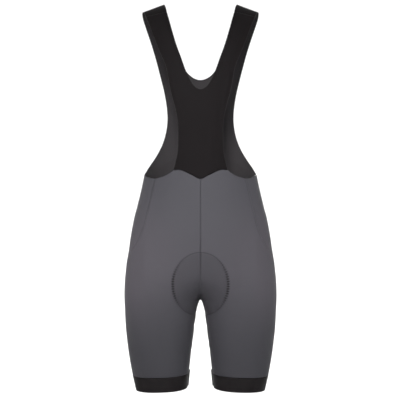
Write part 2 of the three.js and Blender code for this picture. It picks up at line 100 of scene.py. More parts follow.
# Soft creases in millimetres. across is x on the front and back and y on the outer and inner sides of a leg.
# Each is given for the wearer's left and repeated on the right. A negative depth is a ridge.
Crease = namedtuple("Crease", "facing across_1 z_1 across_2 z_2 bow width depth")
CREASES = (
    # The front of the shorts: the hip's swell, pulls from the pad and from the waist, and the thighs
    Crease("front", 124, -530, 116, -700, 5, 13, -2.6),
    Crease("front", 92, -510, 86, -710, 4, 16, 2.2),
    Crease("front", 62, -612, 128, -560, -5, 8, 0.55),
    Crease("front", 60, -660, 134, -640, 4, 8, 0.6),
    Crease("front", 52, -700, 112, -722, -5, 8, 0.5),
    Crease("front", 40, -398, 66, -452, 5, 8, 0.5),
    Crease("front", 72, -396, 100, -455, -4, 7, 0.45),
    Crease("front", 18, -410, 24, -470, 2, 8, 0.35),
    Crease("front", 8, -480, 46, -520, 3, 9, 0.3),
    Crease("front", 100, -700, 88, -846, 4, 14, 0.6),
    Crease("front", 68, -742, 62, -850, -3, 12, -0.5),
    Crease("front", 132, -736, 120, -846, 3, 9, -0.6),
    # The back of the shorts: under the seat, over it, and behind the thighs
    Crease("back", 24, -704, 132, -690, -10, 9, 1.6),
    Crease("back", 34, -726, 118, -716, -8, 8, -0.8),
    Crease("back", 14, -560, 74, -520, 6, 9, 0.6),
    Crease("back", 20, -470, 92, -446, 5, 9, 0.7),
    Crease("back", 14, -430, 70, -420, -3, 6, 0.5),
    Crease("back", 92, -572, 140, -622, 6, 14, 0.5),
    Crease("back", 52, -760, 122, -778, 5, 8, 0.7),
    Crease("back", 60, -806, 118, -792, -4, 7, 0.6),
    Crease("back", 84, -640, 92, -740, 4, 14, -0.8),
    # The outer and inner sides of the legs
    Crease("outer", -44, -556, 46, -584, 6, 15, 0.55),
    Crease("outer", -30, -700, 40, -716, -4, 9, 0.5),
    Crease("outer", -34, -470, 36, -486, 4, 9, 0.5),
    Crease("inner", -44, -742, 42, -758, 5, 7, 0.8),
    Crease("inner", -36, -772, 34, -784, -4, 6, 0.6),
    Crease("inner", -40, -810, 30, -802, 3, 6, 0.5),
    # The bib: tension down from the straps, and soft folds where the back flares to the waist
    Crease("front", 44, -214, 30, -372, 4, 8, 0.6),
    Crease("front", 22, -262, 12, -382, -3, 9, 0.45),
    Crease("front", 66, -150, 52, -236, 3, 6, -0.5),
    Crease("front", 98, -60, 78, -160, 2, 7, 0.5),
    Crease("back", 62, -226, 104, -378, 9, 8, 0.8),
    Crease("back", 40, -230, 70, -386, 6, 9, -0.8),
    Crease("back", 12, -214, 18, -380, 3, 9, 0.7),
    Crease("back", 56, -346, 116, -388, 4, 6, 0.7),
    Crease("back", 96, -100, 66, -206, 3, 7, 0.6),
)


def linear(code):
    """An sRGB hex colour as linear red, green and blue."""
    parts = [int(code[i : i + 2], 16) / 255 for i in (1, 3, 5)]
    return tuple(c / 12.92 if c <= 0.04045 else ((c + 0.055) / 1.055) ** 2.4 for c in parts)


class ClothSizes(bpy.types.PropertyGroup):
    shorts_cloth: FloatProperty(
        name="Shorts cloth", description="Thickness of the grey knit", default=1.2 * MM, unit="LENGTH"
    )
    bib_cloth: FloatProperty(
        name="Bib cloth", description="Thickness of the black knit", default=1.0 * MM, unit="LENGTH"
    )
    band_cloth: FloatProperty(
        name="Band", description="Thickness of the elastic leg bands", default=1.9 * MM, unit="LENGTH"
    )
    creases: FloatProperty(
        name="Creases", description="Depth of the creases against their table", default=1.0, subtype="FACTOR"
    )
    seam_groove: FloatProperty(
        name="Seam groove", description="How deep a sewn seam lies", default=0.22 * MM, unit="LENGTH"
    )
    pad_groove: FloatProperty(
        name="Pad groove",
        description="How deep the pad's stitching pulls in",
        default=0.7 * MM,
        unit="LENGTH",
    )
    smoothing: IntProperty(
        name="Smoothing", description="Subdivision levels of the cloth", default=3, min=1, max=3
    )


class SewingSizes(bpy.types.PropertyGroup):
    spacing: FloatProperty(
        name="Stitch spacing",
        description="Distance between stitches of a flat seam",
        default=2.4 * MM,
        unit="LENGTH",
    )
    seam_width: FloatProperty(
        name="Seam width", description="Width of a flat seam's stitching", default=3.6 * MM, unit="LENGTH"
    )
    thread: FloatProperty(
        name="Thread", description="Thickness of the sewing thread", default=0.42 * MM, unit="LENGTH"
    )
    edge: FloatProperty(
        name="Rolled edge",
        description="Radius of the rolled edges of the bib",
        default=0.7 * MM,
        unit="LENGTH",
    )


class Colours(bpy.types.PropertyGroup):
    grey_knit: FloatVectorProperty(
        name="Grey knit", description="Cloth of the shorts", subtype="COLOR", default=linear("#47464b")
    )
    black_knit: FloatVectorProperty(
        name="Black knit", description="Outside of the bib", subtype="COLOR", default=linear("#171415")
    )
    elastic: FloatVectorProperty(
        name="Elastic", description="Leg bands", subtype="COLOR", default=linear("#262324")
    )
    pad: FloatVectorProperty(
        name="Seat pad", description="Cloth of the seat pad", subtype="COLOR", default=linear("#1f1f22")
    )


class StageSizes(bpy.types.PropertyGroup):
    distance: FloatProperty(
        name="Camera distance", description="From the garment's middle", default=2.3, unit="LENGTH"
    )
    height: FloatProperty(
        name="Camera height", description="Below the crest of the shoulders", default=-0.451, unit="LENGTH"
    )
    framed: FloatProperty(
        name="Framed width", description="What the picture holds at the garment", default=0.94, unit="LENGTH"
    )
    floor: FloatProperty(
        name="Floor", description="Height of the floor", default=-1.3, unit="LENGTH"
    )


# Materials


def add_node(material, kind, settings=None, **inputs):
    """Adds a node with its settings.

    Each input is a value, another node, or a node and the name of its output.
    """
    tree = material.node_tree
    node = tree.nodes.new(kind)
    for name, value in (settings or {}).items():
        setattr(node, name, value)
    for name, value in inputs.items():
        socket = node.inputs[int(name[1:])] if name[0] == "_" else node.inputs[name.replace("_", " ")]
        if isinstance(value, bpy.types.Node):
            tree.links.new(value.outputs[0], socket)
        elif isinstance(value, tuple) and isinstance(value[0], bpy.types.Node):
            tree.links.new(value[0].outputs[value[1]], socket)
        else:
            socket.default_value = value
    return node


def math_node(material, operation, *values):
    """A Math node on up to three values."""
    named = {f"_{i}": value for i, value in enumerate(values)}
    return add_node(material, "ShaderNodeMath", {"operation": operation}, **named)


def field(material, name):
    """A number that the mesh carries at each point."""
    return (add_node(material, "ShaderNodeAttribute", {"attribute_name": name}), "Fac")


def fall_off(material, distance, near, far):
    """1 up to near and 0 beyond far, smoothly in between."""
    return add_node(
        material,
        "ShaderNodeMapRange",
        {"interpolation_type": "SMOOTHSTEP"},
        _0=distance,
        _1=near,
        _2=far,
        _3=1.0,
        _4=0.0,
    )


def wave(material, length, period):
    """A sine wave along a length."""
    return math_node(material, "SINE", math_node(material, "MULTIPLY", length, math.tau / period))


def knit_relief(material, gauge, depth):
    """Height of a fine knit: ribs along the wales, broken by the courses.

    The gauge is drawn coarser than real.
    """
    ribs = wave(material, field(material, "wale"), gauge)
    rows = wave(material, field(material, "course"), gauge)
    return math_node(material, "MULTIPLY", math_node(material, "MULTIPLY_ADD", rows, 0.5, ribs), depth)


def added(material, height, mask, amount):
    """A height with this much more where a mask is 1."""
    return math_node(material, "MULTIPLY_ADD", mask, amount, height)


def tinted(material, shade, mask, amount):
    """A shade that is changed by this share where a mask is 1."""
    change = math_node(material, "MULTIPLY_ADD", mask, amount, 1.0)
    return math_node(material, "MULTIPLY", shade, change)


def shaded(material, colour, shade):
    """A colour multiplied by a shade between 0 and 1 or a little more."""
    scaled = add_node(material, "ShaderNodeVectorMath", {"operation": "SCALE"}, _0=tuple(colour))
    material.node_tree.links.new(shade.outputs[0], scaled.inputs["Scale"])
    return scaled


def new_material(name, **surface):
    """A material whose shader is given by its own sockets."""
    material = bpy.data.materials.new(name)
    material.use_nodes = True
    shader = material.node_tree.nodes["Principled BSDF"]
    for key, value in surface.items():
        shader.inputs[key.replace("_", " ")].default_value = value
    return material, shader


def connect(material, shader, colour, height):
    """Gives the shader its colour and its relief, which is in metres."""
    links = material.node_tree.links
    links.new(colour.outputs[0], shader.inputs["Base Color"])
    bump = add_node(material, "ShaderNodeBump", None, Strength=1.0, Distance=1.0, Height=height)
    links.new(bump.outputs[0], shader.inputs["Normal"])


def mottle(material, size, amount):
    """A shade that wanders round 1 over patches of this size."""
    where = (add_node(material, "ShaderNodeTexCoord"), "Object")
    noise = add_node(material, "ShaderNodeTexNoise", None, Vector=where, Scale=1 / size, Detail=2.0)
    return math_node(material, "MULTIPLY_ADD", noise, 2 * amount, 1 - amount)


def patches(material, large, fine):
    """A shade that wanders over large patches and over a fine grain, each given by its size and amount."""
    return math_node(material, "MULTIPLY", mottle(material, *large), mottle(material, *fine))


def grain(material, size, depth):
    """Height of small uneven bumps of this size."""
    return math_node(material, "MULTIPLY", mottle(material, size, 1.0), depth)


def pad_puckers(material, off_edge):
    """Small pulls between the stitches of the pad's edge, from 0 down to -1, strongest where it is widest."""
    stitch_pitch = 5.6 * MM
    widest_below = 645 * MM
    places = (add_node(material, "ShaderNodeTexCoord"), "Object")
    where = add_node(material, "ShaderNodeSeparateXYZ", None, _0=places)
    level = math_node(material, "ABSOLUTE", math_node(material, "ADD", (where, "Z"), widest_below))
    at_sides = fall_off(material, level, 10 * MM, 72 * MM)
    near_edge = fall_off(material, off_edge, 1.2 * MM, 5.2 * MM)
    pulled = math_node(material, "MULTIPLY", near_edge, at_sides)
    pulls = wave(material, field(material, "pad_along"), stitch_pitch)
    return math_node(material, "MULTIPLY", math_node(material, "MULTIPLY_ADD", pulls, 0.5, -0.5), pulled)


def grey_lycra():
    """Brushed warp knit of nylon and elastane: matt, with a faint sheen and a faint melange."""
    colours = bpy.context.scene.bib_colours
    material, shader = new_material(
        "grey_warp_knit", Roughness=0.62, IOR=1.25, Sheen_Weight=0.03, Sheen_Roughness=0.5
    )
    across = field(material, "pad_across")
    off_edge = math_node(material, "ABSOLUTE", across)
    pucker = pad_puckers(material, off_edge)
    seam_line = fall_off(material, field(material, "seam"), 0.2 * MM, 1.5 * MM)
    pad_line = fall_off(material, off_edge, 0.2 * MM, 1.3 * MM)
    inside = fall_off(material, across, -4 * MM, 1 * MM)
    height = knit_relief(material, 1.3 * MM, 0.03 * MM)
    height = added(material, height, pucker, 0.9 * MM)
    height = added(material, height, seam_line, -0.12 * MM)
    height = added(material, height, pad_line, -0.3 * MM)
    shade = patches(material, (90 * MM, 0.03), (1.6 * MM, 0.05))
    # Painted shade: a little darker along the seams' grooves.
    shade = tinted(material, shade, seam_line, -0.06)
    # Painted shade: half as dark along the groove where the pad's stitching pulls the cloth in.
    shade = tinted(material, shade, pad_line, -0.5)
    # Painted shade: darker in the valleys of the pulls between the pad's stitches.
    shade = tinted(material, shade, pucker, 0.85)
    # Darker inside the pad's stitched edge: partly the black pad showing through the thin knit, partly
    # painted shade.
    shade = tinted(material, shade, inside, -0.2)
    connect(material, shader, shaded(material, colours.grey_knit, shade), height)
    return material


def black_lycra():
    """The same knit dyed black and left a little smoother, so that it takes a dull light along its folds."""
    colours = bpy.context.scene.bib_colours
    material, shader = new_material(
        "black_warp_knit", Roughness=0.62, IOR=1.15, Sheen_Weight=0.01, Sheen_Roughness=0.45
    )
    seam_line = fall_off(material, field(material, "seam"), 0.2 * MM, 1.6 * MM)
    height = added(material, knit_relief(material, 1.5 * MM, 0.035 * MM), seam_line, -0.25 * MM)
    # Painted shade: darker along the seams' grooves.
    shade = tinted(material, patches(material, (80 * MM, 0.05), (1.8 * MM, 0.06)), seam_line, -0.4)
    connect(material, shader, shaded(material, colours.black_knit, shade), height)
    return material


def black_lining_with_painted_light():
    """The bib's inner side: the looped back of the same knit, with an open grain of small pores. Its colour
    is paler than the outside's: painted light, so that the inside looks lit where it shows.
    """
    material, shader = new_material(
        "black_knit_loop_back", Roughness=0.78, IOR=1.3, Sheen_Weight=0.06, Sheen_Roughness=0.6
    )
    pores = knit_relief(material, 2.2 * MM, 0.08 * MM)
    shade = patches(material, (70 * MM, 0.05), (2.0 * MM, 0.08))
    # Painted light: this paler colour makes the inside look lit.
    connect(material, shader, shaded(material, linear("#343133"), shade), pores)
    return material


def satin_elastic():
    """Woven elastic tape: floating threads across it give a satin face with fine ribs round the leg."""
    colours = bpy.context.scene.bib_colours
    material, shader = new_material("black_satin_elastic", Roughness=0.45, IOR=1.15, Anisotropic=0.4)
    ribs = wave(material, field(material, "course"), 2.4 * MM)
    height = math_node(material, "MULTIPLY", ribs, 0.06 * MM)
    shade = patches(material, (40 * MM, 0.05), (2.5 * MM, 0.07))
    connect(material, shader, shaded(material, colours.elastic, shade), height)
    return material


def rolled_edge_with_painted_highlight():
    """A folded, topstitched edge of the black knit: stretched tight, so smoother and a little glossier. Its
    colour is a little lighter than the knit's, as a painted highlight along the edge.
    """
    material, shader = new_material("black_rolled_edge", Roughness=0.5, IOR=1.25)
    # Painted highlight: a colour a little lighter than the black knit's.
    colour = shaded(material, linear("#1d1a1b"), mottle(material, 6 * MM, 0.1))
    connect(material, shader, colour, grain(material, 1.2 * MM, 0.05 * MM))
    return material


def polyester_thread(name, code):
    """Spun polyester sewing thread: slightly glossy, with a fine twist."""
    material, shader = new_material(name, Roughness=0.55, IOR=1.3, Sheen_Weight=0.03)
    colour = shaded(material, linear(code), mottle(material, 3 * MM, 0.12))
    connect(material, shader, colour, grain(material, 0.8 * MM, 0.05 * MM))
    return material


def brushed_microfibre():
    """The seat pad's skin: microfibre brushed to a short nap, dull, with a pale bloom at its edges."""
    colours = bpy.context.scene.bib_colours
    material, shader = new_material(
        "black_brushed_microfibre", Roughness=0.9, IOR=1.45, Sheen_Weight=0.5, Sheen_Roughness=0.7
    )
    shade = patches(material, (25 * MM, 0.12), (1.5 * MM, 0.12))
    connect(material, shader, shaded(material, colours.pad, shade), grain(material, 1.4 * MM, 0.12 * MM))
    return material


def paper_backdrop():
    """Matt white paper, faintly mottled."""
    material, shader = new_material("white_studio_paper", Roughness=0.9)
    colour = shaded(material, linear("#f6f6f6"), mottle(material, 0.6, 0.01))
    connect(material, shader, colour, grain(material, 4 * MM, 0.02 * MM))
    return material


# Cloth


def mesh_from(bm, name):
    """A mesh with what a bmesh holds. The bmesh is freed."""
    mesh = bpy.data.meshes.new(name)
    bm.to_mesh(mesh)
    bm.free()
    return mesh


def solid_of(node_name):
    """A node's solid as a bmesh whose faces share their points."""
    bm = bmesh.new()
    bm.from_mesh(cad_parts[node_name].data)
    bmesh.ops.remove_doubles(bm, verts=bm.verts, dist=SAME_POINT)
    return bm


def islands(faces):
    """Faces as sets that hang together without a sharp fold between them."""
    left = set(faces)
    found = []
    while left:
        start = left.pop()
        island = {start}
        waiting = [start]
        while waiting:
            for edge in waiting.pop().edges:
                if edge.calc_face_angle(0) > SHARP_FOLD:
                    continue
                for face in edge.link_faces:
                    if face in left:
                        left.remove(face)
                        island.add(face)
                        waiting.append(face)
        found.append(island)
    return found


def faces_outwards(island):
    """How far a set of faces looks away from the middle of the body, front and back."""
    return sum(f.calc_area() * f.normal.y * f.calc_center_median().y for f in island)


def outer_wall(node_name):
    """The outer side of a node's cloth in four-sided faces, without its rims and inner side."""
    bm = solid_of(node_name)
    bm.normal_update()
    solid = BVHTree.FromBMesh(bm)
    walls = sorted(islands([f for f in bm.faces if is_backed(solid, f)]), key=len)[-2:]
    outer = max(walls, key=faces_outwards)
    inner = min(walls, key=faces_outwards)
    rounds_to_close = 3
    for _ in range(rounds_to_close):
        for face in bm.faces:
            beside = {f for edge in face.edges for f in edge.link_faces if f is not face}
            if face not in inner and len(beside & outer) >= 2:
                outer.add(face)
    bmesh.ops.delete(bm, geom=[f for f in bm.faces if f not in outer], context="FACES")
    join_to_quads(bm)
    return bm


def is_backed(solid, face):
    """Whether the other side of the cloth lies close behind a face, which tells a wall from a rim."""
    just_behind = 0.02 * MM
    faces_away = -0.5
    start = face.calc_center_median() - face.normal * just_behind
    _, normal, _, _ = solid.ray_cast(start, -face.normal, THICKEST_WALL)
    return normal is not None and normal.dot(face.normal) < faces_away


def join_to_quads(bm):
    """Makes four-sided faces of a mesh of triangles."""
    wide = math.radians(80)
    bmesh.ops.join_triangles(
        bm,
        faces=bm.faces,
        angle_face_threshold=wide,
        angle_shape_threshold=wide,
        topology_influence=1.5,
    )


def joined_walls(names):
    """The outer walls of several nodes as one bmesh, sewn where they meet.

    The material number of a face says which node it comes from.
    """
    whole = bmesh.new()
    for number, name in enumerate(names):
        part = outer_wall(name)
        for face in part.faces:
            face.material_index = number
            face.smooth = True
        mesh = mesh_from(part, "wall")
        whole.from_mesh(mesh)
        bpy.data.meshes.remove(mesh)
    edges = [v for v in whole.verts if v.is_boundary]
    bmesh.ops.remove_doubles(whole, verts=edges, dist=SEWN_GAP)
    return whole


def applied(bm, add_modifiers):
    """The mesh that a bmesh becomes under the modifiers which add_modifiers puts on its object."""
    mesh = mesh_from(bm, "applied")
    piece = bpy.data.objects.new("applied", mesh)
    bpy.context.scene.collection.objects.link(piece)
    add_modifiers(piece)
    graph = bpy.context.evaluated_depsgraph_get()
    made = bpy.data.meshes.new_from_object(piece.evaluated_get(graph))
    bpy.data.objects.remove(piece)
    bpy.data.meshes.remove(mesh)
    return made


def subdivision(levels):
    """A Subdivision Surface modifier with as many levels in the view as in the render."""

    def add(piece):
        smooth = piece.modifiers.new("smooth", "SUBSURF")
        smooth.levels = levels
        smooth.render_levels = levels
        smooth.boundary_smooth = "PRESERVE_CORNERS"

    return add


def smooth_through(bm, levels):
    """The smooth mesh that runs through a bmesh's own points.

    The points are first moved out by what smoothing takes, in a few rounds.
    """
    rounds = 4
    levels_to_measure = 2
    wanted = [v.co.copy() for v in bm.verts]
    for _ in range(rounds):
        smooth = applied(bm.copy(), subdivision(levels_to_measure))
        for point, vertex in zip(wanted, bm.verts):
            vertex.co += point - smooth.vertices[vertex.index].co
        bpy.data.meshes.remove(smooth)
    return applied(bm, subdivision(levels))


def points_of(mesh):
    """A mesh's points and their normals as arrays."""
    points = np.empty(len(mesh.vertices) * 3)
    mesh.vertices.foreach_get("co", points)
    normals = np.empty(len(mesh.vertices) * 3)
    mesh.vertices.foreach_get("normal", normals)
    return points.reshape(-1, 3), normals.reshape(-1, 3)


def keep_field(mesh, name, values):
    """Stores a number for each point of a mesh."""
    layer = mesh.attributes.new(name, "FLOAT", "POINT")
    layer.data.foreach_set("value", np.asarray(values, dtype=np.float32))


def smooth_step(values, low, high):
    """0 up to low and 1 beyond high, smoothly in between."""
    t = np.clip((values - low) / (high - low), 0, 1)
    return t * t * (3 - 2 * t)


def crease_depth(points, normals, number, side):
    """How deep one crease of the table is at each point.

    Each is uneven in its own way, tapers to its ends and shows only on its own side of the body.
    """
    crease = CREASES[number]
    x, y, z = points.T
    if crease.facing in ("front", "back"):
        across = x * side
        looks = normals[:, 1] * (-1 if crease.facing == "front" else 1)
    else:
        across = y
        looks = normals[:, 0] * side * (1 if crease.facing == "outer" else -1)
        looks = np.where(x * side > 0, looks, -1)
    start = np.array((crease.across_1, crease.z_1)) * MM
    end = np.array((crease.across_2, crease.z_2)) * MM
    length = np.linalg.norm(end - start)
    way = (end - start) / length
    there = np.stack((across, z), axis=1) - start
    along = np.clip(there @ way / length, 0, 1)
    uneven = 1 + 0.35 * np.sin(6 * along + 2.1 * number + side)
    bow = (crease.bow + 1.5 * side * math.sin(number)) * MM
    off = there @ np.array((-way[1], way[0])) - 4 * bow * along * (1 - along)
    past = np.abs(there @ way / length - along) * length
    widening = 0.8 + 0.4 * along
    distance = np.hypot(off, past) / (crease.width * MM * widening)
    tapered = np.sin(math.pi * np.clip(along, 0.001, 0.999)) ** 0.7
    shown = smooth_step(looks, 0.1, 0.5)
    return crease.depth * MM * uneven * tapered * shown * np.exp(-distance * distance)


def crease_relief(points, normals):
    """How far each point moves along its normal for all the creases."""
    relief = np.zeros(len(points))
    for number in range(len(CREASES)):
        for side in (1, -1):
            relief -= crease_depth(points, normals, number, side)
    return relief


def pad_distance(points, normals):
    """Distance from the seat pad's stitched edge along the cloth, less than nothing inside it."""
    middle_y = 4 * MM
    least_slope = 3.0
    x, y, z = points.T
    distance = np.full(len(points), 1.0)
    for name, facing in (("front", y <= middle_y), ("back", y > middle_y)):
        edge = PAD_EDGES[name]
        upright = np.where(z > edge.middle * MM, edge.up, edge.down) * MM
        u = x / (edge.half * MM)
        v = (z - edge.middle * MM) / upright
        value = np.maximum(np.hypot(u, v), 1e-3)
        rising = np.stack((u / (edge.half * MM), np.zeros(len(x)), v / upright), axis=1) / value[:, None]
        into = np.sum(rising * normals, axis=1)
        slope = np.linalg.norm(rising - into[:, None] * normals, axis=1)
        distance = np.where(facing, (value - 1) / np.maximum(slope, least_slope), distance)
    return distance


def pad_edge_line(cloth):
    """Points and normals round the left half of the seat pad's stitched edge, from the front to the back."""
    outside = 0.5
    edge_on = -0.05
    line = []
    for name, way, angles in (("front", 1, range(0, 181)), ("back", -1, range(180, -1, -1))):
        edge = PAD_EDGES[name]
        for degrees in angles:
            angle = math.radians(degrees)
            upright = edge.up if math.cos(angle) > 0 else edge.down
            x = edge.half * math.sin(angle) * MM
            z = (edge.middle + upright * math.cos(angle)) * MM
            place, normal, _, _ = cloth.ray_cast(Vector((x, -way * outside, z)), Vector((0, way, 0)))
            if place is None or normal.y * way > edge_on:
                continue
            line.append((place, normal))
    return line


def along_line(line, spacing):
    """Evenly spaced places on a line of places and normals, each with its normal and its way along."""
    lengths = [0.0]
    for (a, _), (b, _) in zip(line, line[1:]):
        lengths.append(lengths[-1] + (b - a).length)
    count = max(int(lengths[-1] / spacing), 1)
    found = []
    k = 0
    for i in range(count):
        wanted = (i + 0.5) * lengths[-1] / count
        while lengths[k + 1] < wanted:
            k += 1
        t = (wanted - lengths[k]) / (lengths[k + 1] - lengths[k])
        (a, normal_a), (b, normal_b) = line[k], line[k + 1]
        found.append((a.lerp(b, t), normal_a.lerp(normal_b, t).normalized(), (b - a).normalized(), wanted))
    return found


def chains(edges):
    """Edges given as pairs of vertex numbers, as runs of numbers from end to end."""
    beside = {}
    for a, b in edges:
        beside.setdefault(a, []).append(b)
        beside.setdefault(b, []).append(a)
    runs = []
    ends = [v for v, near in beside.items() if len(near) == 1]
    while beside:
        start = next((v for v in ends if v in beside), None)
        start = next(iter(beside)) if start is None else start
        run = [start]
        here = start
        while here in beside and beside[here]:
            following = beside[here].pop()
            beside[following].remove(here)
            if not beside[here]:
                del beside[here]
            run.append(following)
            here = following
        beside.pop(here, None)
        runs.append(run)
    return [run for run in runs if len(run) > 1]


def nearest_tree(places):
    """A tree that finds the nearest of some places."""
    tree = KDTree(len(places))
    for i, place in enumerate(places):
        tree.insert(place, i)
    tree.balance()
    return tree


def distance_to(points, places, limit):
    """The distance from each point to the nearest place, up to a limit."""
    tree = nearest_tree(places)
    return np.array([min(tree.find(p)[2], limit) for p in points])


def seam_distance(points, seams):
    """The distance from each point to the nearest seam.

    A side seam counts as a little farther, so that it shows less.
    """
    nearest = np.full(len(points), SEAM_REACH)
    for pair, found in seams.items():
        on_seam = sorted({v for edge in found for v in edge})
        far = distance_to(points, points[on_seam], SEAM_REACH)
        nearest = np.minimum(nearest, far + SIDE_SEAM_FLATTER if pair in SIDE_SEAMS else far)
    return nearest


def keep_weave(mesh, points):
    """Stores two lengths that run along the cloth, round the body and down it, for the knit to follow."""
    leg_x = 92 * MM
    leg_y = 8 * MM
    leg_radius = 0.1
    strap_radius = 0.12
    x, y, z = points.T
    side = np.sign(x) + (x == 0)
    round_leg = np.arctan2(y - leg_y, x * side - leg_x) * leg_radius * side
    over = np.arctan2(z - STRAP_BEND, -y)
    down_back = z - 2 * STRAP_BEND - strap_radius * math.pi
    down_bib = np.where(z < STRAP_BEND, np.where(y < 0, -z, down_back), -STRAP_BEND - strap_radius * over)
    on_bib = z > WAIST
    keep_field(mesh, "wale", np.where(on_bib, x, round_leg))
    keep_field(mesh, "course", np.where(on_bib, down_bib, z))


def tree_of(mesh):
    """A mesh's surface, to cast rays at."""
    bm = bmesh.new()
    bm.from_mesh(mesh)
    tree = BVHTree.FromBMesh(bm)
    bm.free()
    return tree


class Garment:
    """The smooth sewn cloth of the whole garment, and the lines on it that the sewing follows."""

    def __init__(self):
        sizes = bpy.context.scene.bib_cloth
        self.mesh = smooth_through(joined_walls(PANELS), sizes.smoothing)
        points, normals = points_of(self.mesh)
        seams, edges = self.sorted_edges()
        seams[BIB] = self.take_shoulder_seam(points, edges)
        seam = seam_distance(points, seams)
        across = pad_distance(points, normals)
        relief = crease_relief(points, normals) * sizes.creases
        relief *= smooth_step(points[:, 2] - BAND_TOP, 0, SEAM_REACH)
        relief -= sizes.seam_groove * np.exp(-((seam / SEAM_GROOVE_WIDTH) ** 2))
        relief -= sizes.pad_groove * np.exp(-((across / PAD_GROOVE_WIDTH) ** 2))
        points = points + normals * relief[:, None]
        self.mesh.vertices.foreach_set("co", points.ravel())
        self.mesh.update()
        keep_field(self.mesh, "seam", seam)
        keep_field(self.mesh, "pad_across", np.clip(across, -30 * MM, 30 * MM))
        keep_weave(self.mesh, points)
        self.seams = {pair: self.lines(found) for pair, found in seams.items()}
        self.edges = {name: self.lines(found) for name, found in edges.items()}
        self.pad_line = pad_edge_line(tree_of(self.mesh))
        self.keep_pad_lengths(points, across)

    def sorted_edges(self):
        """The edges where two panels meet, by their pair, and the free edges, by their panel."""
        panel_of = np.empty(len(self.mesh.polygons), dtype=np.int32)
        self.mesh.polygons.foreach_get("material_index", panel_of)
        beside = {}
        for polygon in self.mesh.polygons:
            for edge in polygon.edge_keys:
                beside.setdefault(edge, []).append(int(panel_of[polygon.index]))
        seams = {}
        edges = {}
        for edge, panels in beside.items():
            if len(panels) == 1:
                edges.setdefault(PANELS[panels[0]], []).append(edge)
            elif panels[0] != panels[1]:
                pair = tuple(sorted((PANELS[panels[0]], PANELS[panels[1]])))
                seams.setdefault(pair, []).append(edge)
        return seams, edges

    def take_shoulder_seam(self, points, edges):
        """Takes the shoulder seam out of the free edges of the bib and returns the front's share of it."""
        free = {name: edges[name] for name in BIB}
        ends = {name: points[[v for edge in free[name] for v in edge]] for name in BIB}
        for name, other in (BIB, BIB[::-1]):
            gaps = distance_to(ends[name], ends[other], 1).reshape(-1, 2).max(axis=1)
            edges[name] = [edge for edge, gap in zip(free[name], gaps) if gap > SHOULDER_GAP]
        return [edge for edge in free["bib_front"] if edge not in set(edges["bib_front"])]

    def lines(self, edges):
        """Runs of edges as lists of places and normals."""
        vertices = self.mesh.vertices
        return [[(vertices[v].co.copy(), vertices[v].normal.copy()) for v in run] for run in chains(edges)]

    def keep_pad_lengths(self, points, across):
        """Stores how far round the pad's edge each point near it lies."""
        near = 16 * MM
        steps = along_line(self.pad_line, 1 * MM)
        tree = nearest_tree([place for place, _, _, _ in steps])
        lengths = np.zeros(len(points))
        for i in np.nonzero(np.abs(across) < near)[0]:
            x, y, z = points[i]
            here = Vector((abs(x), y, z))
            _, k, _ = tree.find(here)
            place, _, way, length = steps[k]
            lengths[i] = length + (here - place).dot(way)
        keep_field(self.mesh, "pad_along", lengths)

    def panel(self, name):
        """One panel of the cloth as a bmesh of its own."""
        bm = bmesh.new()
        bm.from_mesh(self.mesh)
        number = PANELS.index(name)
        bmesh.ops.delete(bm, geom=[f for f in bm.faces if f.material_index != number], context="FACES")
        for face in bm.faces:
            face.material_index = 0
        return bm


_garment = []


def garment():
    """The garment, which is worked out once."""
    if not _garment:
        _garment.append(Garment())
    return _garment[0]


def shade_smooth(mesh):
    """Shades the faces of a mesh as one round surface."""
    for polygon in mesh.polygons:
        polygon.use_smooth = True


def new_piece(name, source, material, replaced=()):
    """A shown object at the origin that rides on the part, from a bmesh or a mesh."""
    mesh = mesh_from(source, name) if isinstance(source, bmesh.types.BMesh) else source
    mesh.name = name
    shade_smooth(mesh)
    mesh.materials.clear()
    mesh.materials.append(material)
    piece = bpy.data.objects.new(name, mesh)
    bpy.context.scene.collection.objects.link(piece)
    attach(piece, "root")
    if replaced:
        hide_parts(*replaced)
    return piece


def thicken(piece, thickness, inner=None):
    """Gives cloth its thickness, inwards from the surface that shows.

    Its inner side has another finish where one is given.
    """
    if inner:
        piece.data.materials.append(inner)
    wall = piece.modifiers.new("thickness", "SOLIDIFY")
    wall.thickness = thickness
    wall.offset = -1
    wall.use_even_offset = False
    wall.material_offset = 1 if inner else 0


# Sewing


def add_stitch(bm, place, along, up, length, width):
    """One stitch of thread: a small bead that lies on the cloth."""
    across = up.cross(along).normalized()
    along = across.cross(up).normalized()
    turn = Matrix((along, across, up)).transposed().to_4x4()
    size = Matrix.Diagonal((length / 2, width / 2, width / 2, 1))
    whole = Matrix.Translation(place) @ turn @ size
    bmesh.ops.create_uvsphere(bm, u_segments=4, v_segments=3, radius=1, matrix=whole)


def sewn(name, stitches, material):
    """A piece of many stitches.

    They are made some at a time, because a large bmesh takes new shapes slowly.
    """
    at_a_time = 80
    whole = bmesh.new()
    for first in range(0, len(stitches), at_a_time):
        bm = bmesh.new()
        for stitch in stitches[first : first + at_a_time]:
            add_stitch(bm, *stitch)
        mesh = mesh_from(bm, "stitches")
        whole.from_mesh(mesh)
        bpy.data.meshes.remove(mesh)
    return new_piece(name, whole, material)


def flat_seam(name, lines, material):
    """The slanting threads that lie across a flat seam."""
    sewing = bpy.context.scene.bib_sewing
    lift = 0.12 * MM
    slope = 0.55
    stitches = []
    for line in lines:
        for place, up, way, _ in along_line(line, sewing.spacing):
            across = up.cross(way).normalized()
            for lean in (1, -1):
                slant = (across + way * slope * lean).normalized()
                stitches.append((place + up * lift, slant, up, sewing.seam_width, sewing.thread))
    return sewn(name, stitches, material)


def running_stitches(line, spacing, length):
    """The stitches of one needle along a line on the cloth."""
    thread = bpy.context.scene.bib_sewing.thread
    lift = 0.1 * MM
    return [
        (place + up * lift, way, up, length, thread)
        for place, up, way, _ in along_line(line, spacing)
    ]


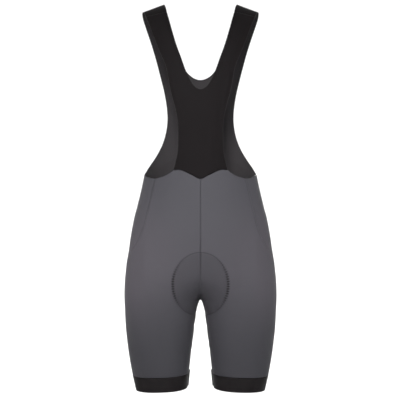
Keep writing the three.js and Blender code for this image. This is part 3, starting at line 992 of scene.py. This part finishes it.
def rolled_edges(name, lines, material, radius):
    """A thin rolled edge along lines of places. Its middle lies a little inside the cloth."""
    sunk = 0.5 * MM
    curve = bpy.data.curves.new(name, "CURVE")
    curve.dimensions = "3D"
    curve.bevel_depth = radius
    curve.bevel_resolution = 2
    curve.use_fill_caps = True
    for line in lines:
        spline = curve.splines.new("POLY")
        spline.points.add(len(line) - 1)
        for point, (place, normal) in zip(spline.points, line):
            point.co = (*(place - normal * sunk), 1)
    holder = bpy.data.objects.new(name, curve)
    bpy.context.scene.collection.objects.link(holder)
    graph = bpy.context.evaluated_depsgraph_get()
    mesh = bpy.data.meshes.new_from_object(holder.evaluated_get(graph))
    bpy.data.objects.remove(holder)
    return new_piece(name, mesh, material)


# Pieces


class BIBSHORTS_OT_shorts(bpy.types.Operator):
    """The four grey panels of the shorts with their seams and the pad's stitched edge"""

    bl_idname = "bibshorts.shorts"
    bl_label = "Shorts"

    def execute(self, context):
        sizes = context.scene.bib_cloth
        cloth = garment()
        knit = grey_lycra()
        thread = polyester_thread("grey_polyester_thread", "#454449")
        pieces = {}
        for name in SHORTS:
            pieces[name] = new_piece(f"{name}_cloth", cloth.panel(name), knit, (name,))
            thicken(pieces[name], sizes.shorts_cloth)
        for side, pair in zip(("left", "right"), SIDE_SEAMS):
            seam = flat_seam(f"side_and_inner_seams_{side}", cloth.seams[pair], thread)
        middle = cloth.seams[("shorts_front_left", "shorts_front_right")]
        middle = middle + cloth.seams[("shorts_back_left", "shorts_back_right")]
        flat_seam("middle_seams", middle, thread)
        other = [(Vector((-p.x, p.y, p.z)), Vector((-n.x, n.y, n.z))) for p, n in cloth.pad_line]
        stitches = []
        for line in (cloth.pad_line, other):
            stitches += running_stitches(line, 3.2 * MM, 2.4 * MM)
        sewn("pad_stitching", stitches, thread)
        return {"FINISHED"}


def waist_lines(cloth):
    """The free edges of the shorts at the waist, without those that the leg bands cover."""
    halfway_down = -0.5
    lines = [line for name in SHORTS for line in cloth.edges.get(name, [])]
    return [line for line in lines if line[0][0].z > halfway_down]


class BIBSHORTS_OT_bib(bpy.types.Operator):
    """The front and back of the bib with their rolled edges and seams"""

    bl_idname = "bibshorts.bib"
    bl_label = "Bib"

    def execute(self, context):
        sizes = context.scene.bib_cloth
        sewing = context.scene.bib_sewing
        cloth = garment()
        knit = black_lycra()
        lining = black_lining_with_painted_light()
        edge_with_painted_highlight = rolled_edge_with_painted_highlight()
        thread = polyester_thread("black_polyester_thread", "#151213")
        front = new_piece("bib_front_cloth", cloth.panel("bib_front"), knit, ("bib_front",))
        back = new_piece("bib_back_cloth", cloth.panel("bib_back"), knit, ("bib_back",))
        thicken(front, sizes.bib_cloth, lining)
        thicken(back, sizes.bib_cloth, lining)
        free = {
            "bib_front_edges": cloth.edges["bib_front"],
            "bib_back_edges": cloth.edges["bib_back"],
            "waist_edges": waist_lines(cloth),
        }
        edges = {
            name: rolled_edges(name, lines, edge_with_painted_highlight, sewing.edge)
            for name, lines in free.items()
        }
        shoulder = flat_seam("shoulder_seams", cloth.seams[BIB], thread)
        waist = []
        for (a, b), lines in cloth.seams.items():
            if (a in BIB) != (b in BIB):
                waist += lines
        flat_seam("waist_seam", waist, thread)
        return {"FINISHED"}


def closing_line(mesh, name):
    """Down the inner side of a leg band, from a little above its top to its bottom."""
    levels = np.linspace(-0.86, -0.888, 8)
    leg_middle = 6 * MM
    lift = 0.8 * MM
    overlap = 10 * MM
    tree = tree_of(mesh)
    way = Vector((1 if name.endswith("left") else -1, 0, 0))
    line = []
    for z in levels:
        place, normal, _, _ = tree.ray_cast(Vector((0, leg_middle, z)), way)
        if place is not None:
            line.append((place + normal * lift, normal))
    above = line[0][0] + (line[0][0] - line[-1][0]).normalized() * overlap
    return [(above, line[0][1]), *line]


def band_stitches(lines):
    """A row of stitches a little inside each rim of a leg band."""
    stitches = []
    for line in lines:
        at_top = line[0][0].z > BAND_MIDDLE
        shift = Vector((0, 0, -2.2 * MM if at_top else 3.0 * MM))
        moved = [(place + shift, normal) for place, normal in line]
        stitches += running_stitches(moved, 3.0 * MM, 2.2 * MM)
    return stitches


class BIBSHORTS_OT_bands(bpy.types.Operator):
    """The elastic bands round the legs"""

    bl_idname = "bibshorts.bands"
    bl_label = "Leg bands"

    def execute(self, context):
        sizes = context.scene.bib_cloth
        elastic = satin_elastic()
        thread = polyester_thread("band_thread", "#242122")
        closing_radius = 1.9 * MM
        for name in BANDS:
            mesh = smooth_through(outer_wall(name), 3)
            points, normals = points_of(mesh)
            keep_weave(mesh, points)
            bm = bmesh.new()
            bm.from_mesh(mesh)
            rims = [(e.verts[0].index, e.verts[1].index) for e in bm.edges if e.is_boundary]
            bm.free()
            lines = [[(Vector(points[v]), Vector(normals[v])) for v in run] for run in chains(rims)]
            band = new_piece(f"{name}_band", mesh, elastic, (name,))
            thicken(band, sizes.band_cloth)
            sewing = sewn(f"{name}_stitching", band_stitches(lines), thread)
            seam = [closing_line(mesh, name)]
            closing = rolled_edges(f"{name}_closing_seam", seam, elastic, closing_radius)
        return {"FINISHED"}


class BIBSHORTS_OT_pad(bpy.types.Operator):
    """The foam seat pad inside the shorts"""

    bl_idname = "bibshorts.pad"
    bl_label = "Seat pad"

    def execute(self, context):
        bm = solid_of("seat_pad")
        join_to_quads(bm)
        mesh = smooth_through(bm, 2)
        pad = new_piece("seat_pad_foam", mesh, brushed_microfibre(), ("seat_pad",))
        return {"FINISHED"}


# Stage


def soft_lamp(name, place, target, cone, power, colour=(1, 1, 1), radius=0.3):
    """A soft round lamp that looks at a point. Its light fades from there to the edge of its cone."""
    light = bpy.data.lights.new(name, "SPOT")
    light.spot_size = math.radians(cone)
    light.spot_blend = 1.0
    light.shadow_soft_size = radius
    light.energy = power
    light.color = colour
    holder = bpy.data.objects.new(name, light)
    bpy.context.scene.collection.objects.link(holder)
    holder.location = place
    holder.rotation_euler = (Vector(target) - Vector(place)).to_track_quat("-Z", "Y").to_euler()


def studio_floor(level):
    """The mesh of a round floor that curves up all round into a wall."""
    radius = 4.0
    bend = 1.2
    wall = 4.0
    steps_up = 12
    steps_round = 72
    bm = bmesh.new()
    profile = [bm.verts.new((0, 0, level))]
    for step in range(steps_up + 1):
        angle = step / steps_up * math.pi / 2
        out = radius - bend + bend * math.sin(angle)
        profile.append(bm.verts.new((out, 0, level + bend * (1 - math.cos(angle)))))
    profile.append(bm.verts.new((radius, 0, level + wall)))
    edges = [bm.edges.new(pair) for pair in zip(profile, profile[1:])]
    bmesh.ops.spin(
        bm,
        geom=profile + edges,
        cent=(0, 0, 0),
        axis=(0, 0, 1),
        angle=math.tau,
        steps=steps_round,
        use_merge=True,
    )
    bmesh.ops.remove_doubles(bm, verts=bm.verts, dist=1 * MM)
    bmesh.ops.recalc_face_normals(bm, faces=bm.faces)
    mesh = mesh_from(bm, "studio_floor")
    shade_smooth(mesh)
    mesh.materials.append(paper_backdrop())
    return mesh


class BIBSHORTS_OT_stage(bpy.types.Operator):
    """The plain pale floor that curves up all round, the soft lights and the camera"""

    bl_idname = "bibshorts.stage"
    bl_label = "Stage"

    def execute(self, context):
        scene = context.scene
        stage = scene.bib_stage
        floor = bpy.data.objects.new("studio_floor", studio_floor(stage.floor))
        scene.collection.objects.link(floor)

        world = bpy.data.worlds.new("studio_air")
        world.use_nodes = True
        air = world.node_tree.nodes["Background"].inputs
        air["Color"].default_value = (1, 1, 1, 1)
        air["Strength"].default_value = 0.6
        scene.world = world
        warm = (1.0, 0.84, 0.88)
        soft_lamp("front_light", (-0.15, -2.1, 0.45), (0, 0, -0.34), 27, 222)
        soft_lamp("low_front_light", (-0.1, -1.5, -1.05), (0, 0, -0.67), 13, 92)
        soft_lamp("back_light", (0.15, 2.1, 0.45), (0, 0, -0.34), 27, 222)
        soft_lamp("left_light", (-1.5, -1.2, -0.4), (-0.15, -0.05, -0.6), 11, 66, warm, 0.06)
        soft_lamp("right_light", (1.5, -1.2, -0.4), (0.15, -0.05, -0.6), 11, 50, warm, 0.06)
        soft_lamp("backdrop_light_left", (-1.6, 0.9, 0.8), (-0.4, 4, -0.2), 120, 140)
        soft_lamp("backdrop_light_right", (1.6, 0.9, 0.8), (0.4, 4, -0.2), 120, 140)
        soft_lamp("floor_light", (0, 1.4, 1.6), (0, 2.5, -1.3), 74, 150)

        camera = bpy.data.cameras.new("camera")
        camera.sensor_width = 36
        camera.lens = camera.sensor_width * stage.distance / stage.framed
        holder = bpy.data.objects.new("camera", camera)
        scene.collection.objects.link(holder)
        aside = -1.2 * MM
        holder.location = (aside, -stage.distance, stage.height)
        holder.rotation_euler = (math.pi / 2, 0, 0)
        scene.camera = holder
        scene.view_settings.view_transform = "Standard"
        return {"FINISHED"}


# Add-on


class BIBSHORTS_PT_panel(bpy.types.Panel):
    """Lists the pieces and their sizes"""

    bl_idname = "BIBSHORTS_PT_panel"
    bl_label = "Bib Shorts"
    bl_space_type = "VIEW_3D"
    bl_region_type = "UI"
    bl_category = "Bib Shorts"

    def draw(self, context):
        for operator in OPERATORS:
            self.layout.operator(operator.bl_idname)
        for group in (context.scene.bib_cloth, context.scene.bib_sewing, context.scene.bib_colours):
            for name in group.bl_rna.properties.keys():
                if name not in ("rna_type", "name"):
                    self.layout.prop(group, name)


GROUPS = {
    "bib_cloth": ClothSizes,
    "bib_sewing": SewingSizes,
    "bib_colours": Colours,
    "bib_stage": StageSizes,
}
OPERATORS = (
    BIBSHORTS_OT_shorts,
    BIBSHORTS_OT_bib,
    BIBSHORTS_OT_bands,
    BIBSHORTS_OT_pad,
    BIBSHORTS_OT_stage,
)


def register():
    for name, group in GROUPS.items():
        bpy.utils.register_class(group)
        setattr(bpy.types.Scene, name, PointerProperty(type=group))
    for operator in OPERATORS:
        bpy.utils.register_class(operator)
    bpy.utils.register_class(BIBSHORTS_PT_panel)


def unregister():
    bpy.utils.unregister_class(BIBSHORTS_PT_panel)
    for operator in reversed(OPERATORS):
        bpy.utils.unregister_class(operator)
    for name, group in GROUPS.items():
        delattr(bpy.types.Scene, name)
        bpy.utils.unregister_class(group)


def main():
    register()
    bpy.ops.bibshorts.shorts()
    bpy.ops.bibshorts.bib()
    bpy.ops.bibshorts.bands()
    bpy.ops.bibshorts.pad()
    bpy.ops.bibshorts.stage()


if __name__ == "__main__":
    main()
